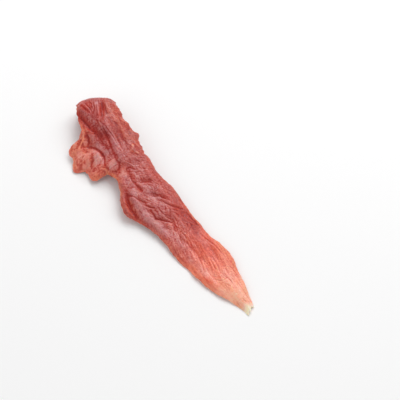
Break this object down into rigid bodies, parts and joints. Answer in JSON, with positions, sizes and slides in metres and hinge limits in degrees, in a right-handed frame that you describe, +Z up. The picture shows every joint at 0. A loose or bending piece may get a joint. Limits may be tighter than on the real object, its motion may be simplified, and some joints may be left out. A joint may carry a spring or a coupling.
{
  "type": "dried duck fillet",
  "caption": "Air-dried duck breast fillet strip, leathery and reddish, lying in a low arch with a drooping lobe and a pale tip.",
  "frame": {"origin": "middle of the underside of the bounding box, on the surface the fillet lies on", "axes": "+X along the strip towards its narrow pale tip, +Y across it, away from the drooping lobe, +Z up from the surface it lies on"},
  "size_m": [0.1534, 0.0374, 0.0156],
  "materials": {
    "dried_meat": "satin"
  },
  "bodies": {
    "root": {"fillet": "dried_meat"}
  },
  "joints": []
}
